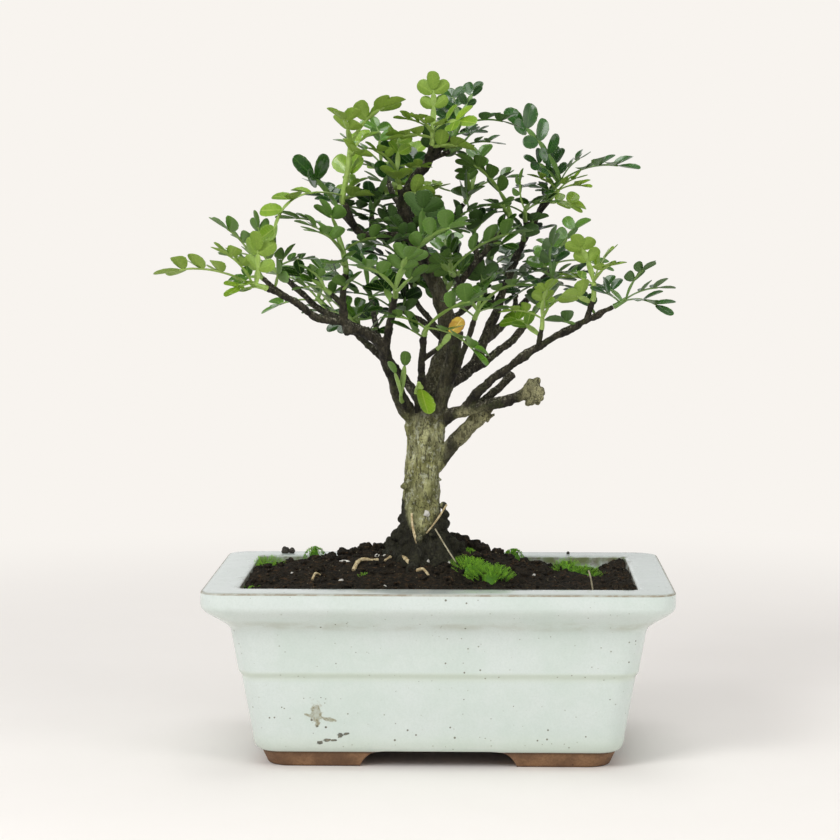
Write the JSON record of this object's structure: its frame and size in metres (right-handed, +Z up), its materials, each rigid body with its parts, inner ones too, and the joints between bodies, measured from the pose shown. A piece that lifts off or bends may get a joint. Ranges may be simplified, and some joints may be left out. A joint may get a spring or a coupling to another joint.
{
  "type": "pepper bonsai tree in a pot",
  "caption": "Small pepper tree bonsai with winged compound leaves, growing from mounded dark soil in a pale glazed rectangular pot on low feet.",
  "frame": {"origin": "middle of the whole part's bounding box, on the surface that the pot's feet stand on", "axes": "+Z up, +X to the right along the pot's long side, +Y to the back"},
  "size_m": [0.1759, 0.1176, 0.2382],
  "materials": {
    "glaze": "gloss",
    "drain_mesh": "matte",
    "soil": "matte",
    "bark": "matte",
    "young_leaf": "satin",
    "mature_leaf": "satin",
    "glossy_leaf": "gloss",
    "withered_leaf": "matte"
  },
  "bodies": {
    "root": {"pot": "glaze", "drain_mesh_left": "drain_mesh", "drain_mesh_right": "drain_mesh", "soil": "soil", "tree": "bark", "shoot_top_left": "young_leaf", "shoot_crown_left_glossy": "glossy_leaf", "shoot_crown_left_side": "glossy_leaf", "shoot_crown_mid": "young_leaf", "shoot_crown_top": "young_leaf", "shoot_leader": "glossy_leaf", "shoot_crown_right_low": "glossy_leaf", "shoot_right_up": "glossy_leaf", "shoot_right_top_tuft": "young_leaf", "shoot_right_top_front": "mature_leaf", "shoot_mid_right": "mature_leaf", "shoot_mid_right_dark": "glossy_leaf", "shoot_mid_right_front": "mature_leaf", "shoot_left_mid": "mature_leaf", "shoot_front_mid": "mature_leaf", "shoot_withered": "withered_leaf", "shoot_core_front": "glossy_leaf", "shoot_core_right": "glossy_leaf", "shoot_left_low": "young_leaf", "shoot_left_tip_up": "mature_leaf", "shoot_left_high": "mature_leaf", "shoot_left_twig": "mature_leaf", "shoot_left_pale": "mature_leaf", "shoot_sprout_low": "young_leaf", "shoot_sprout_thin": "mature_leaf", "shoot_right_long": "glossy_leaf", "shoot_right_tip_young": "young_leaf", "shoot_right_mid_lime": "young_leaf", "shoot_front_right": "mature_leaf", "shoot_right_dark": "glossy_leaf", "shoot_inner_right": "glossy_leaf", "shoot_inner_left": "glossy_leaf", "shoot_inner_low": "glossy_leaf", "shoot_crown_back": "mature_leaf", "shoot_back_left": "mature_leaf", "shoot_back_left_up": "glossy_leaf", "shoot_back_left_in": "mature_leaf", "shoot_back_mid": "mature_leaf", "shoot_back_mid_right": "glossy_leaf", "shoot_back_mid_left": "glossy_leaf", "shoot_back_high": "young_leaf", "shoot_back_high_right": "mature_leaf", "shoot_back_right": "mature_leaf", "shoot_back_right_in": "glossy_leaf"}
  },
  "joints": []
}
